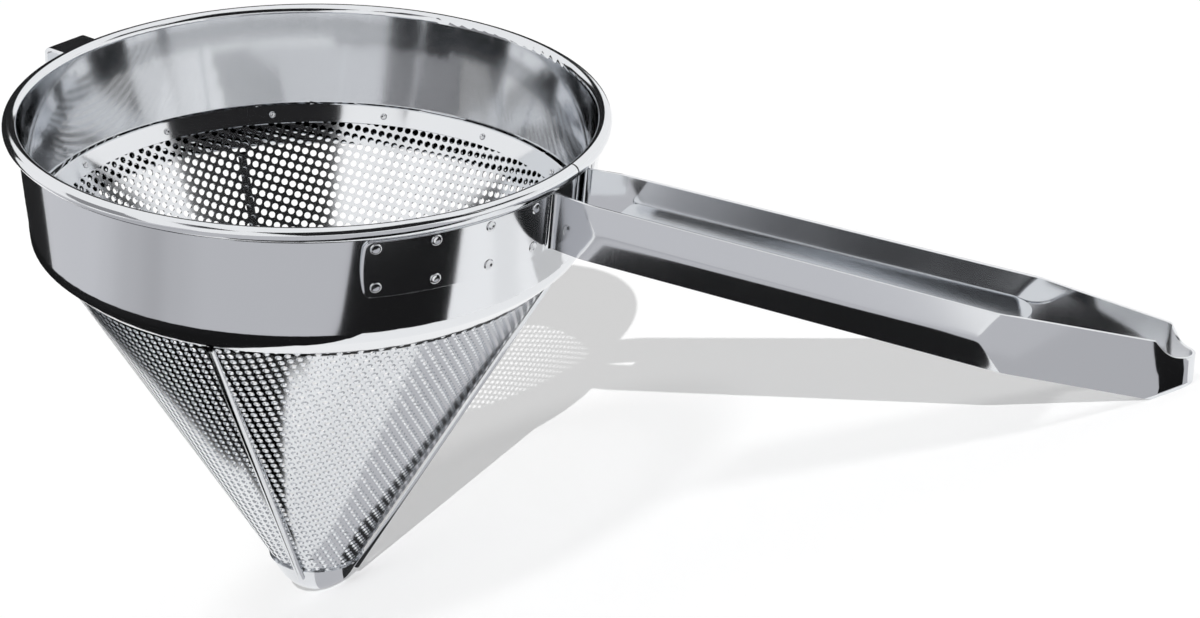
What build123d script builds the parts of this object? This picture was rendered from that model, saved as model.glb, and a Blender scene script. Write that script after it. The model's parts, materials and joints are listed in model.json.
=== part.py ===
from build123d import *
import os
from math import acos, atan2, cos, degrees, hypot, pi, radians, sin, sqrt, tan

# Chinois (China cap) strainer, standing on its nose and on the end of its handle.
# The pieces are modelled in the strainer's own frame: cone axis on Z, top of the rim at zero,
# handle along +X. Each one is then turned onto the table plane. Lengths are in millimetres.

# Band and rim
rim_diameter = 203.0
sheet = 0.8
bead_diameter = 5.1
bead_slit = 0.6
wall_taper_angle = 4.6
hip_depth = 42.0
hip_bend_radius = 3.0
hip_step = 3.1
hip_foot_drop = 6.6

# Cone, ring, cap and ribs. The cone's openings stand for its fine holes.
cone_half_angle = 30.47
opening_columns = 16
opening_share = 0.62
opening_border = 3.0
ring_height = 5.4
nose_radius = 15.0
cap_skirt = 6.4
cap_seat = 1.4
rib_width = 3.0
rib_height = 1.4
rib_overlap = 3.5
rib_front_azimuth = -82.5
rib_handle_side_azimuth = 8.0
rib_back_azimuth = 136.8

# Handle strap, with plan lengths measured out from the rim or back from the handle's end
strap_sheet = 1.0
strap_height = 19.6
strap_top_depth = 6.8
handle_droop_angle = 2.74
handle_length = 207.1
flange_end_azimuth = 50.7
flange_end_bow_radius = 42.0
root_bend_radius = 2.0
root_half_width = 12.2
mouth_out = 8.0
mouth_half_width = 14.2
crest_start_out = 14.5
crest_start_half_width = 15.5
crest_end_back = 62.6
crest_end_half_width = 18.0
knee_back = 56.1
knee_half_width = 16.1
shoulder_back = 10.1
shoulder_half_width = 7.9
handle_tip_radius = 4.6
tip_top_drop = 5.1
tip_bottom_rise = 2.4

# Plate between the handle walls
plate_thickness = 1.0
plate_start_out = 11.5
plate_end_back = 55.1
plate_end_corner_radius = 9.0
plate_start_corner_radius = 3.0

# Pot hook
hook_sheet = 1.2
hook_azimuth = 167.0
hook_width = 16.5
hook_out = 17.2
hook_top_depth = 5.8
hook_flange_height = 17.0
hook_lip_height = 14.0
hook_bend_radius = 1.5

# Spot welds
weld_diameter = 3.8
weld_height = 0.3
flange_weld_columns = 4
flange_weld_end_inset = 4.6
flange_weld_root_inset = 6.9
flange_weld_top_inset = 2.3
flange_weld_bottom_inset = 3.6
hook_weld_spacing = 8.0
hook_weld_bottom_inset = 3.8
ring_weld_diameter = 2.4
ring_weld_count = 14

# Clearances
tight_gap = 0.05
overrun = 30.0

bead_radius = bead_diameter / 2
rim_radius = rim_diameter / 2
bead_centre_radius = rim_radius - bead_radius
wall_slope = tan(radians(wall_taper_angle))
cone_slope = tan(radians(cone_half_angle))
cone_cosine = cos(radians(cone_half_angle))
cone_sine = sin(radians(cone_half_angle))
droop_slope = tan(radians(handle_droop_angle))
cap_lap = sheet + tight_gap


def wall_inner(depth):
    """Radius of the band's inner face."""
    return rim_radius - bead_diameter - wall_slope * (depth - bead_radius)


def wall_outer(depth):
    """Radius of the band's outer face."""
    return wall_inner(depth) + sheet / cos(radians(wall_taper_angle))


cone_apex_depth = hip_depth + (wall_inner(hip_depth) - hip_step) / cone_slope
dome_centre_depth = cone_apex_depth + (cap_lap - nose_radius) / cone_sine
dome_edge_depth = dome_centre_depth + nose_radius * cone_sine
cap_top_depth = dome_edge_depth - cap_skirt
band_depth = hip_depth + hip_foot_drop
handle_tip_x = rim_radius + handle_length
knee_x = handle_tip_x - knee_back
shoulder_x = handle_tip_x - shoulder_back
crest_start_x = rim_radius + crest_start_out
crest_end_x = handle_tip_x - crest_end_back


def cone_radius(depth, offset):
    """Radius of the cone's outer face, moved square to itself by an offset."""
    return cone_slope * (cone_apex_depth - depth) + offset / cone_cosine


def cone_top_depth():
    """Depth at which the cone's outer face meets the band's inner face."""
    gap = cone_radius(0, 0) - wall_inner(0)
    return gap / (cone_slope - wall_slope) + tight_gap


def section(points):
    """Face of a profile given as (radius, height) in the XZ plane."""
    return make_face(Polyline(*[(r, 0, z) for r, z in points], close=True))


def bent_strip(path, thickness):
    """Closed outline of a sheet whose one face follows an open path, with mitred bends."""
    far = []
    for i, point in enumerate(path):
        normals = []
        for a, b in ((path[max(i - 1, 0)], point), (point, path[min(i + 1, len(path) - 1)])):
            length = hypot(b[0] - a[0], b[1] - a[1])
            if length > 0:
                normals.append(((a[1] - b[1]) / length, (b[0] - a[0]) / length))
        nx = sum(n[0] for n in normals) / len(normals)
        ny = sum(n[1] for n in normals) / len(normals)
        reach = thickness / (nx * nx + ny * ny)
        far.append((point[0] + nx * reach, point[1] + ny * reach))
    return far


def bend(face, corner, radius):
    """Rounds the corner of an XZ section that lies at the given point."""
    close = [v for v in face.vertices() if hypot(v.X - corner[0], v.Z - corner[1]) < tight_gap]
    return fillet(close, radius)


def band():
    """Tapered wall with the rim rolled over the wire, and a hip turned in onto the cone."""
    foot = (cone_radius(band_depth, tight_gap), -band_depth)
    top = bead_radius - bead_slit / 2
    inner = [foot, (wall_inner(hip_depth), -hip_depth), (wall_inner(top), -top)]
    outer = bent_strip(inner, -sheet)
    strip = section(inner + outer[::-1])
    strip = bend(strip, outer[1], hip_bend_radius + sheet)
    strip = bend(strip, inner[1], hip_bend_radius)
    rim = Plane(origin=(bead_centre_radius, 0, -bead_radius), x_dir=(1, 0, 0), z_dir=(0, -1, 0))
    curl = rim * (Circle(bead_radius) - Circle(bead_radius - sheet))
    slit_edge = wall_outer(bead_radius) + bead_slit - bead_centre_radius
    slit = rim * Pos(slit_edge, 0) * Rectangle(overrun, overrun, align=(Align.MAX, Align.MAX))
    return revolve(strip, Axis.Z) + revolve(curl - slit, Axis.Z)


def rim_wire():
    """Stiffening wire inside the rolled rim."""
    rim = Plane(origin=(bead_centre_radius, 0, -bead_radius), x_dir=(1, 0, 0), z_dir=(0, -1, 0))
    return revolve(rim * Circle(bead_radius - sheet - tight_gap), Axis.Z)


def conical_sheet(top, end, offset, thickness):
    """Frustum shell between two depths whose outer face stands off the cone's face."""
    outer = [(cone_radius(d, offset), -d) for d in (top, end)]
    inner = [(cone_radius(d, offset - thickness), -d) for d in (end, top)]
    return revolve(section(outer + inner), Axis.Z)


def cone_openings():
    """Tools that open the cone in rows, each opening in proportion to its place on the cone."""
    step = 2 * pi / opening_columns
    half_share = opening_share * step * cone_sine / 2
    top = (cone_apex_depth - band_depth) / cone_cosine - opening_border
    bottom = (cone_apex_depth - cap_top_depth) / cone_cosine + opening_border
    slant = top / (1 + half_share)
    tools = []
    while slant * (1 - half_share) > bottom:
        place = Pos(slant * cone_sine, 0, slant * cone_cosine - cone_apex_depth)
        tool = place * Rot(0, 90 + cone_half_angle, 0) * Cylinder(slant * half_share, overrun / 2)
        for i in range(opening_columns):
            tools.append(Rot(0, 0, rib_front_azimuth + degrees(step) * (i + 1 / 2)) * tool)
        slant /= 1 + step * cone_sine
    return tools


def perforated_cone():
    """Cone sheet, from inside the band's hip down into the tip cap."""
    shell = conical_sheet(cone_top_depth(), dome_edge_depth - cap_seat, 0, sheet)
    return shell.cut(*cone_openings())


def inner_ring():
    """Plain ring inside the bowl that covers the top edge of the cone sheet."""
    top = cone_top_depth()
    return conical_sheet(top, top + ring_height, -sheet - tight_gap, sheet)


def cap_profile(offset):
    """Corners of the cap's face: rim, end of the straight, middle of the dome and tip."""
    radius = nose_radius + offset
    middle_angle = radians(90 + cone_half_angle) / 2
    rim = (cone_radius(cap_top_depth, cap_lap + offset), 0, -cap_top_depth)
    straight_end = (radius * cone_cosine, 0, -dome_centre_depth - radius * cone_sine)
    middle = (radius * cos(middle_angle), 0, -dome_centre_depth - radius * sin(middle_angle))
    tip = (0, 0, -dome_centre_depth - radius)
    return rim, straight_end, middle, tip


def tip_cap():
    """Plain domed cap that laps over the lower end of the cone."""
    rim, straight_end, middle, tip = cap_profile(0)
    rim_in, straight_end_in, middle_in, tip_in = cap_profile(-sheet)
    outer = [Line(rim, straight_end), ThreePointArc(straight_end, middle, tip)]
    inner = [ThreePointArc(tip_in, middle_in, straight_end_in), Line(straight_end_in, rim_in)]
    return revolve(make_face(outer + [Line(tip, tip_in)] + inner + [Line(rim_in, rim)]), Axis.Z)


def rib(azimuth):
    """Half-round strip on the outside of the cone, from the band down onto the cap."""
    top = band_depth + rib_height
    end = cap_top_depth + rib_overlap
    foot = Vector(cone_radius(end, sheet + 2 * tight_gap), 0, -end)
    head = Vector(cone_radius(top, tight_gap), 0, -top)
    along = (head - foot).normalized()
    half = Vector(0, rib_width / 2, 0)
    crown = foot + Vector(cone_cosine, 0, -cone_sine) * rib_height
    half_round = make_face([ThreePointArc(foot + half, crown, foot - half), Line(foot - half, foot + half)])
    return Rot(0, 0, azimuth) * extrude(half_round, (head - foot).length, dir=along)


def strap_top(x):
    """Height of the handle's top edge."""
    return -strap_top_depth - droop_slope * (x - wall_outer(strap_top_depth))


def handle_flange(side):
    """Strap lying along the band, from the root bend to its bowed end."""
    top = strap_top_depth
    bottom = strap_top_depth + strap_height
    inner = [(wall_outer(top) + tight_gap, -top), (wall_outer(bottom) + tight_gap, -bottom)]
    outer = [(r + strap_sheet, z) for r, z in inner[::-1]]
    start = root_bend_azimuth()
    sweep = Rot(0, 0, start) * revolve(section(inner + outer), Axis.Z, flange_end_azimuth - start)
    bow_azimuth = flange_end_azimuth - degrees(flange_end_bow_radius / wall_outer(top))
    middle = top + strap_height / 2
    bow = Cylinder(flange_end_bow_radius, rim_diameter, rotation=(0, 90, 0))
    bow += Box(rim_diameter, rim_diameter, 2 * flange_end_bow_radius,
               align=(Align.CENTER, Align.MAX, Align.CENTER))
    bow = Rot(0, 0, bow_azimuth) * Pos(wall_outer(middle), 0, -middle) * bow
    flange = sweep & bow
    return flange if side > 0 else mirror(flange, Plane.XZ)


def root_bend_centre():
    """Plan centre of the bend where the strap leaves the band, on the +Y side."""
    y = root_half_width + root_bend_radius
    reach = wall_outer(strap_top_depth) + tight_gap + strap_sheet + root_bend_radius
    return sqrt(reach * reach - y * y), y


def root_bend_azimuth():
    """Azimuth of the root bend's centre, in degrees."""
    x, y = root_bend_centre()
    return degrees(atan2(y, x))


def root_bend(side):
    """Quarter bend from the flange out into the handle wall, leaning as the band leans."""
    x, y = root_bend_centre()
    turn = radians(90 + root_bend_azimuth())
    top = -strap_top_depth
    centre = Vector(x, y, top)

    def on_bend(radius, angle):
        return centre + Vector(-radius * sin(angle), -radius * cos(angle), 0)
    near, far = root_bend_radius, root_bend_radius + strap_sheet
    arcs = [ThreePointArc(on_bend(r, 0), on_bend(r, turn / 2), on_bend(r, turn)) for r in (near, far)]
    ends = [Line(on_bend(near, a), on_bend(far, a)) for a in (0, turn)]
    lean = Vector(-wall_slope, 0, -1)
    corner = extrude(make_face(arcs + ends), strap_height * lean.length, dir=lean.normalized())
    return corner if side > 0 else mirror(corner, Plane.XZ)


def wall_points():
    """Outer corners of the +Y handle wall, by name."""
    lean = wall_slope * strap_height
    root_x = root_bend_centre()[0]
    middle = strap_height / 2
    points = {}
    for name, x, y, shift in (("root", root_x, root_half_width, lean),
                              ("mouth", rim_radius + mouth_out, mouth_half_width, lean),
                              ("knee", knee_x, knee_half_width, 0),
                              ("shoulder", shoulder_x, shoulder_half_width, 0)):
        top = -strap_top_depth if name == "root" else strap_top(x)
        points[name + "_top"] = (x, y, top)
        points[name + "_bottom"] = (x - shift, y, top - strap_height)
    points["crest_start"] = (crest_start_x, crest_start_half_width, strap_top(crest_start_x) - middle)
    points["crest_end"] = (crest_end_x, crest_end_half_width, strap_top(crest_end_x) - middle)
    x, y = tip_tangent()
    points["tip_top"] = (x, y, strap_top(x) - tip_top_drop)
    points["tip_bottom"] = (x, y, strap_top(x) - strap_height + tip_bottom_rise)
    return points


def tip_tangent():
    """Plan point where the straight nose side runs into the rounded end."""
    centre = handle_tip_x - handle_tip_radius
    away = Vector(shoulder_x - centre, shoulder_half_width, 0)
    angle = atan2(away.Y, away.X) - acos(handle_tip_radius / away.length)
    return centre + handle_tip_radius * cos(angle), handle_tip_radius * sin(angle)


def handle_wall(side):
    """Pressed wall: flat root, V crease along the grip, flat end and tapered nose side."""
    panels = [("root_top", "mouth_top", "mouth_bottom", "root_bottom"),
              ("mouth_top", "crest_start", "mouth_bottom"),
              ("mouth_top", "knee_top", "crest_start"), ("knee_top", "crest_end", "crest_start"),
              ("mouth_bottom", "crest_start", "knee_bottom"), ("knee_bottom", "crest_start", "crest_end"),
              ("knee_top", "knee_bottom", "crest_end"),
              ("knee_top", "shoulder_top", "shoulder_bottom", "knee_bottom"),
              ("shoulder_top", "tip_top", "tip_bottom", "shoulder_bottom")]
    points = wall_points()
    solids = []
    for names in panels:
        face = make_face(Polyline(*[points[n] for n in names], close=True))
        solids.append(extrude(face, strap_sheet, dir=(0, -1, 0)))
    wall = solids[0].fuse(*solids[1:])
    return wall if side > 0 else mirror(wall, Plane.XZ)


def handle_nose():
    """Rounded end that joins the two walls and leaves the hanging eye open."""
    points = wall_points()
    x, y, top = points["tip_top"]
    bottom = points["tip_bottom"][2]
    centre = handle_tip_x - handle_tip_radius
    angle = atan2(y, x - centre)

    def on_tip(radius, turn):
        return (centre + radius * cos(turn), radius * sin(turn), bottom)
    near, far = handle_tip_radius - strap_sheet, handle_tip_radius
    arcs = [ThreePointArc(on_tip(r, -angle), on_tip(r, 0), on_tip(r, angle)) for r in (near, far)]
    ends = [Line(on_tip(near, a), on_tip(far, a)) for a in (-angle, angle)]
    return extrude(make_face(arcs + ends), top - bottom, dir=(0, 0, 1))


def handle_strap():
    """One strip: flanges on the band, two pressed walls and the rounded end."""
    pieces = [handle_nose()]
    for side in (-1, 1):
        pieces += [handle_flange(side), root_bend(side), handle_wall(side)]
    return pieces[0].fuse(*pieces[1:])


def groove_half_width(x):
    """Half width between the inner bottoms of the two creases."""
    share = (x - crest_start_x) / (crest_end_x - crest_start_x)
    crest = crest_start_half_width + share * (crest_end_half_width - crest_start_half_width)
    return crest - strap_sheet


def handle_plate():
    """Flat plate seated in the creases of both walls, with rounded corners."""
    middle = (strap_height + plate_thickness) / 2
    seat = (crest_start_half_width - mouth_half_width) * plate_thickness / strap_height + tight_gap
    ends = ((rim_radius + plate_start_out, plate_start_corner_radius),
            (handle_tip_x - plate_end_back, plate_end_corner_radius))
    corners = [(x, side * (groove_half_width(x) - seat), strap_top(x) - middle)
               for (x, _), sides in zip(ends, ((1, -1), (-1, 1))) for side in sides]
    face = make_face(Polyline(*corners, close=True))
    for x, radius in ends:
        face = fillet([v for v in face.vertices() if abs(v.X - x) < tight_gap], radius)
    return extrude(face, plate_thickness, dir=(droop_slope, 0, 1))


def pot_hook():
    """Bent bracket opposite the handle: flange on the band, flat top and lip turned down."""
    top = -hook_top_depth
    inside = wall_outer(hook_top_depth) + tight_gap
    reach = rim_radius + hook_out
    path = [(reach, top - hook_lip_height), (reach, top), (inside - overrun, top)]
    under = bent_strip(path, hook_sheet)
    profile = section(path + under[::-1])
    profile = bend(profile, path[1], hook_bend_radius + hook_sheet)
    profile = bend(profile, under[1], hook_bend_radius)
    arm = extrude(profile, hook_width / 2, dir=(0, 1, 0), both=True)
    levels = (hook_top_depth - overrun, hook_top_depth + overrun)
    band_body = revolve(section([(0, -levels[0]), (wall_outer(levels[0]) + tight_gap, -levels[0]),
                                 (wall_outer(levels[1]) + tight_gap, -levels[1]), (0, -levels[1])]), Axis.Z)
    ends = (hook_top_depth, hook_top_depth + hook_flange_height)
    skin = [(wall_outer(d) + tight_gap, -d) for d in ends]
    skin += [(r + hook_sheet, z) for r, z in skin[::-1]]
    span = degrees(hook_width / inside)
    flange = Rot(0, 0, -span / 2) * revolve(section(skin), Axis.Z, span)
    return Rot(0, 0, hook_azimuth) * ((arm - band_body) + flange)


def weld(azimuth, radius, depth, lean, diameter, outward=1):
    """Shallow weld mark whose back lies on a face that leans from the vertical."""
    disc = Cylinder(diameter / 2, weld_height, align=(Align.CENTER, Align.CENTER, Align.MIN))
    tilt = 90 + lean if outward > 0 else lean - 90
    return Rot(0, 0, azimuth) * Pos(radius, 0, -depth) * Rot(0, tilt, 0) * disc


def handle_welds():
    """Spot welds of both handle flanges, in two rows from the bowed end to the root."""
    marks = []
    rows = (strap_top_depth + flange_weld_top_inset,
            strap_top_depth + strap_height - flange_weld_bottom_inset)
    first = flange_end_azimuth - degrees(flange_weld_end_inset / wall_outer(0))
    last = root_bend_azimuth() + degrees(flange_weld_root_inset / wall_outer(0))
    step = (last - first) / (flange_weld_columns - 1)
    for side in (-1, 1):
        for i in range(flange_weld_columns):
            for depth in rows:
                face = wall_outer(depth) + 2 * tight_gap + strap_sheet
                azimuth = side * (first + i * step)
                marks.append(weld(azimuth, face, depth, wall_taper_angle, weld_diameter))
    return Compound(children=marks)


def hook_welds():
    """Spot welds of the hook's flange, two over two."""
    marks = []
    low = hook_top_depth + hook_flange_height - hook_weld_bottom_inset
    for depth in (low, low - hook_weld_spacing):
        for side in (-1, 1):
            azimuth = hook_azimuth + side * degrees(hook_weld_spacing / wall_outer(0) / 2)
            face = wall_outer(depth) + 2 * tight_gap + hook_sheet
            marks.append(weld(azimuth, face, depth, wall_taper_angle, weld_diameter))
    return Compound(children=marks)


def ring_welds():
    """Spot welds of the inner ring, in a row round the bowl."""
    depth = cone_top_depth() + ring_height / 2
    face = cone_radius(depth, -2 * sheet - 3 * tight_gap)
    step = 360 / ring_weld_count
    return Compound(children=[weld(i * step, face, depth, cone_half_angle, ring_weld_diameter, -1)
                              for i in range(ring_weld_count)])


def table_tilt():
    """Angle from the rim plane to the table, which touches the nose and the handle's end."""
    x, _, z = wall_points()["shoulder_bottom"]
    rise = z + dome_centre_depth
    return degrees(acos(-nose_radius / hypot(x, rise)) - atan2(x, rise))


def on_table(shape):
    """Turns a piece from the strainer's frame onto the table, which is the plane Z = 0."""
    return Pos(0, 0, nose_radius) * Rot(0, table_tilt(), 0) * Pos(0, 0, dome_centre_depth) * shape


pieces = {"band": band(), "rim_wire": rim_wire(), "perforated_cone": perforated_cone(),
          "inner_ring": inner_ring(), "tip_cap": tip_cap(), "handle_strap": handle_strap(),
          "handle_plate": handle_plate(), "pot_hook": pot_hook(), "handle_welds": handle_welds(),
          "hook_welds": hook_welds(), "ring_welds": ring_welds(),
          "rib_front": rib(rib_front_azimuth), "rib_handle_side": rib(rib_handle_side_azimuth),
          "rib_back": rib(rib_back_azimuth)}

os.makedirs("parts", exist_ok=True)
for name, piece in pieces.items():
    export_step(on_table(piece), f"parts/{name}.step")
    print(name, piece.is_valid, len(piece.solids()), round(sum(s.volume for s in piece.solids()), 1))
print("table tilt", round(table_tilt(), 2))
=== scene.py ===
# %% [markdown]
# # A polished conical strainer, dressed around its CAD frame
# This lesson builds the looks of a chinois, the conical strainer that cooks press sauces through.
# The real one is polished stainless steel: a rolled rim band, a cone of perforated sheet, a folded
# strap handle and a small hook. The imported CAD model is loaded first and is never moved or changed.
# A piece that the CAD holds as a plain solid, such as the perforated sheet, is made again here in
# full detail, in the same place, and the plain solid is hidden. All lengths are metres.

# %% Load the frame
import json
from functools import reduce
from math import acos, atan2, cos, degrees, pi, radians, sin, sqrt, tan

import bmesh
import bpy
from mathutils import Matrix, Vector


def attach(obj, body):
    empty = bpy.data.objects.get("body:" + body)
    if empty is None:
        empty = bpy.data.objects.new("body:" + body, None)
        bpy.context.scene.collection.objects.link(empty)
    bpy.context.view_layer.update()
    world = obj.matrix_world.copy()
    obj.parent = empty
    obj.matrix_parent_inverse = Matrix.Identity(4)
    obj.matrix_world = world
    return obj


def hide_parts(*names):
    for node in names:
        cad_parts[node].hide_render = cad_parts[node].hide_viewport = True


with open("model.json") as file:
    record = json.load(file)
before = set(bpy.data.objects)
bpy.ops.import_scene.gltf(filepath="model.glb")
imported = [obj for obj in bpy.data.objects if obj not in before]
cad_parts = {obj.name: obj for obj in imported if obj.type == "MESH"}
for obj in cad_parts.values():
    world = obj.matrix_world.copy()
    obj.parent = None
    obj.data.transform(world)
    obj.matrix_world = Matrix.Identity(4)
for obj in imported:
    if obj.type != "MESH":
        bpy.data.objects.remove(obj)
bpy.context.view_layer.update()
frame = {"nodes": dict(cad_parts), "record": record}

# %% [markdown]
# ## The strainer's own directions
# The strainer leans on the table, so its cone axis is not upright. It is far easier to shape the
# pieces along the cone axis and to tip them afterwards. The frame says how far to tip: one of its
# mounts is the underside of the pot hook, which is square to the cone axis. The nose is a ball that
# touches the table at the origin, so the turn is about the ball's centre.

# %% Strainer directions
MM = 0.001
hook_face = next(m for m in frame["record"]["mounts"] if m["name"] == "under_hook")["axis"]
table_tilt = atan2(-hook_face[0], -hook_face[2])
rim_radius = 101.5 * MM
sheet = 0.8 * MM
bead_radius = 2.55 * MM
wall_slope = tan(radians(4.6))
half_angle = radians(30.47)
nose_radius = 15 * MM
hip_depth = 42 * MM
hip_step = 3.1 * MM
hip_foot_drop = 6.6 * MM
tight_gap = 0.05 * MM


def wall_outer(depth):
    """Radius of the band's outer face at a depth below the rim."""
    inner = rim_radius - 2 * bead_radius - wall_slope * (depth - bead_radius)
    return inner + sheet * sqrt(1 + wall_slope ** 2)


wall_foot = wall_outer(hip_depth) - sheet * sqrt(1 + wall_slope ** 2)
apex_depth = hip_depth + (wall_foot - hip_step) / tan(half_angle)
dome_depth = apex_depth + (sheet + tight_gap - nose_radius) / sin(half_angle)
LEAN = (Matrix.Translation((0, 0, nose_radius)) @ Matrix.Rotation(table_tilt, 4, "Y")
        @ Matrix.Translation((0, 0, dome_depth)))
print("table tilt", round(degrees(table_tilt), 2), "degrees; cone apex", round(apex_depth / MM, 1), "mm down")

# %% [markdown]
# ## Small helpers
# A node tree is easier to read when one line makes one node. `add_node` makes a node, sets its options and
# fills its sockets, by value or by a link, and a few shorter helpers stand for the nodes that come back most
# often. `finish_piece` does what each new piece needs: a material, a body to ride on, and the CAD nodes that
# it stands for, which it hides.

# %% Helpers for node trees


def add_node(tree, kind, sockets=None, **options):
    """One node with its options and its sockets set, each by a value or by a link."""
    node = tree.nodes.new(kind)
    for name, value in options.items():
        setattr(node, name, value)
    for key, value in (sockets or {}).items():
        if isinstance(value, bpy.types.NodeSocket):
            tree.links.new(value, node.inputs[key])
        else:
            node.inputs[key].default_value = value
    return node


def node_out(tree, kind, sockets=None, **options):
    """First output of a new node."""
    return add_node(tree, kind, sockets, **options).outputs[0]


def maths(tree, operation, *values):
    """Result of one maths node."""
    return node_out(tree, "ShaderNodeMath", dict(enumerate(values)), operation=operation)


def times(tree, *values):
    """Product of two or more values."""
    return reduce(lambda product, value: maths(tree, "MULTIPLY", product, value), values)


def minus(tree, first, second):
    """Difference of two values."""
    return maths(tree, "SUBTRACT", first, second)


def vector_maths(tree, operation, first, second=None):
    """One vector maths node."""
    sockets = {0: first} if second is None else {0: first, 1: second}
    return add_node(tree, "ShaderNodeVectorMath", sockets, operation=operation)


def split_vector(tree, vector):
    """X, Y and Z of a vector socket."""
    return add_node(tree, "ShaderNodeSeparateXYZ", {0: vector}).outputs


def join_vector(tree, x=0.0, y=0.0, z=0.0):
    """Vector socket from its three parts."""
    return node_out(tree, "ShaderNodeCombineXYZ", {0: x, 1: y, 2: z})


def round_place(tree, radius, azimuth, height):
    """Vector socket of a place at a radius and an azimuth round the upright axis."""
    return join_vector(tree, times(tree, radius, maths(tree, "COSINE", azimuth)),
                       times(tree, radius, maths(tree, "SINE", azimuth)), height)


def group_inputs(tree, **kinds):
    """Adds the named inputs of each kind to a node group and gives their sockets."""
    for kind, names in kinds.items():
        for name in names:
            tree.interface.new_socket(name=name, in_out="INPUT", socket_type="NodeSocket" + kind)
    return tree.nodes.new("NodeGroupInput").outputs


# %% Helpers for pieces


def linked_object(name, mesh):
    """New object in the scene around a mesh."""
    made = bpy.data.objects.new(name, mesh)
    bpy.context.scene.collection.objects.link(made)
    return made


def piece_from_mesh(name, mesh, sharp_angle=35):
    """Object with a smooth-shaded mesh whose steep edges stay sharp."""
    mesh.name = name
    mesh.polygons.foreach_set("use_smooth", [True] * len(mesh.polygons))
    mesh.set_sharp_from_angle(angle=radians(sharp_angle))
    return linked_object(name, mesh)


def add_rounding(piece, width, angle_limit, segments):
    """Bevel modifier on the edges that are steeper than an angle."""
    rounding = piece.modifiers.new("rounding", "BEVEL")
    rounding.limit_method = "ANGLE"
    rounding.angle_limit = angle_limit
    rounding.width = width
    rounding.segments = segments


def taken_mesh(holder):
    """Mesh of an object with its modifiers applied; the object itself is removed."""
    evaluated = holder.evaluated_get(bpy.context.evaluated_depsgraph_get())
    mesh = bpy.data.meshes.new_from_object(evaluated)
    bpy.data.objects.remove(holder)
    return mesh


def finish_piece(piece, material, slot_name, *nodes):
    """Gives a piece its material and body, and hides the CAD nodes that it stands for. The slot name is not
    used.
    """
    piece.data.materials.clear()
    piece.data.materials.append(material)
    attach(piece, "root")
    if nodes:
        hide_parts(*nodes)
    print(piece.name, len(piece.data.polygons), "faces")


# %% [markdown]
# ## Polish marks, a shared shader group
# A polished sheet is not a perfect mirror. The buffing wheel leaves hair-fine lines and a slow
# waviness, and handling leaves faint smears. Every steel in this lesson uses the same group with
# its own strengths. The group gives back a roughness and a height: the height goes into a Bump
# node, and the shine itself stays in the material.

# %% Polish marks group
line_stretch = (1, 1, 0.02)
line_scale = 1500.0
line_share = 0.5
line_height = 0.004
smear_scale = 22.0


def noise(tree, vector, scale, detail, roughness=0.5):
    """Noise value at a vector."""
    return node_out(tree, "ShaderNodeTexNoise", {"Vector": vector, "Scale": scale, "Detail": detail,
                                                 "Roughness": roughness})


def polish_marks_group():
    """Node group with the roughness and the height of a buffed steel face."""
    tree = bpy.data.node_groups.new("polish_marks", "ShaderNodeTree")
    given = group_inputs(tree, Vector=["Vector"],
                         Float=["Base Roughness", "Smear", "Wave Scale", "Wave Height"])
    for name in ("Roughness", "Height"):
        tree.interface.new_socket(name=name, in_out="OUTPUT", socket_type="NodeSocketFloat")
    stretched = vector_maths(tree, "MULTIPLY", given["Vector"], line_stretch).outputs[0]
    lines = noise(tree, stretched, line_scale, 2.0)
    smears = noise(tree, given["Vector"], smear_scale, 4.0, 0.6)
    waves = noise(tree, given["Vector"], given["Wave Scale"], 1.0)
    smeared = maths(tree, "ADD", given["Base Roughness"], times(tree, smears, given["Smear"]))
    rough = maths(tree, "ADD", smeared, times(tree, lines, given["Smear"], line_share))
    height = maths(tree, "ADD", times(tree, waves, given["Wave Height"]), times(tree, lines, line_height))
    add_node(tree, "NodeGroupOutput", {"Roughness": rough, "Height": height})
    return tree


polish_marks = polish_marks_group()
print("shader group", polish_marks.name, "with", len(polish_marks.nodes), "nodes")

# %% [markdown]
# ## The steels
# Stainless steel is a metal with a neutral, slightly cool colour. One function makes every steel of
# the strainer, because they differ only in polish: the band and the strap are mirrors, the punched
# sheet is a little duller, and the weld marks and the wire are plain. The pattern is laid out along
# the cone axis, so the Object coordinates are first turned back by the table tilt.

# %% Steel materials
relief_strength = 0.2


def axis_coordinates(tree):
    """Object coordinates turned back by the table tilt, so that Z runs along the cone axis."""
    place = tree.nodes.new("ShaderNodeTexCoord").outputs["Object"]
    return node_out(tree, "ShaderNodeMapping", {"Vector": place, "Rotation": (0, -table_tilt, 0)})


def steel(name, colour, roughness, smear, wave_scale, wave_height):
    """Polished steel that reads the strainer's own directions."""
    material = bpy.data.materials.new(name)
    material.use_nodes = True
    tree = material.node_tree
    shader = tree.nodes["Principled BSDF"]
    marks = add_node(tree, "ShaderNodeGroup", node_tree=polish_marks)
    tree.links.new(axis_coordinates(tree), marks.inputs["Vector"])
    for socket, value in (("Base Roughness", roughness), ("Smear", smear), ("Wave Scale", wave_scale),
                          ("Wave Height", wave_height)):
        marks.inputs[socket].default_value = value
    relief = node_out(tree, "ShaderNodeBump", {"Height": marks.outputs["Height"],
                                               "Strength": relief_strength, "Distance": 1 * MM})
    shader.inputs["Base Color"].default_value = (*colour, 1)
    shader.inputs["Metallic"].default_value = 1.0
    tree.links.new(marks.outputs["Roughness"], shader.inputs["Roughness"])
    tree.links.new(relief, shader.inputs["Normal"])
    return material


cool_steel = (0.775, 0.79, 0.812)
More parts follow.
